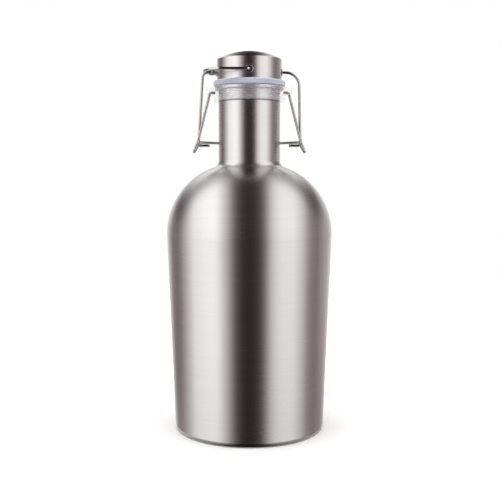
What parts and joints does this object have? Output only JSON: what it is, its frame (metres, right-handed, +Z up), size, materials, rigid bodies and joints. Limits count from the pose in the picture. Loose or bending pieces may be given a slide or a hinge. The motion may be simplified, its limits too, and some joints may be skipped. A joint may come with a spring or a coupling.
{
  "type": "growler",
  "caption": "Single-wall brushed stainless steel growler with a domed cap held down by a swing-top wire closure on a translucent collar",
  "frame": {"origin": "centre of the base on the surface it stands on", "axes": "+Z up the bottle's axis; X through the two ears and the bail's legs; the cap's front hole faces -Y and the lever folds towards +Y"},
  "size_m": [0.1204, 0.1204, 0.2754],
  "materials": {
    "steel_body": "fine circumferential brushing",
    "steel_cap": "brushed side, smoother dome",
    "steel_wire": "drawn and polished",
    "clear_plastic": "translucent, satin",
    "silicone": "translucent silicone",
    "black_plastic": "moulded, satin"
  },
  "bodies": {
    "bottle": {"body_shell": "steel_body", "base_disc": "steel_body", "neck_tube": "steel_body", "mouth_rim": "steel_body", "collar": "clear_plastic"},
    "lever": {"lever_wire": "steel_wire"},
    "bail": {"bail_wire": "steel_wire"},
    "cap": {"cap_shell": "steel_cap", "cap_core": "black_plastic", "gasket": "silicone", "gasket_washer": "steel_cap", "washer_screw": "steel_wire", "bushing_right": "steel_cap", "bushing_left": "steel_cap", "keeper_sleeve": "steel_wire", "keeper_wire": "steel_wire"}
  },
  "joints": [
    {"name": "lever_swing", "type": "hinge", "parent": "bottle", "child": "lever", "pos_m": [0, 0, 0.246], "axis": [1, 0, 0], "range_deg": [0, 165]},
    {"name": "bail_swing", "type": "hinge", "parent": "lever", "child": "bail", "pos_m": [0, 0, 0.208], "axis": [1, 0, 0], "range_deg": [-60, 0]},
    {"name": "cap_tilt", "type": "hinge", "parent": "bail", "child": "cap", "pos_m": [0, 0, 0.2604], "axis": [1, 0, 0], "range_deg": [-106, 0]}
  ],
  "couplings": [
    {"joint": "bail_swing", "follows": "lever_swing", "ratio": -0.36},
    {"joint": "cap_tilt", "follows": "lever_swing", "ratio": -0.64}
  ]
}
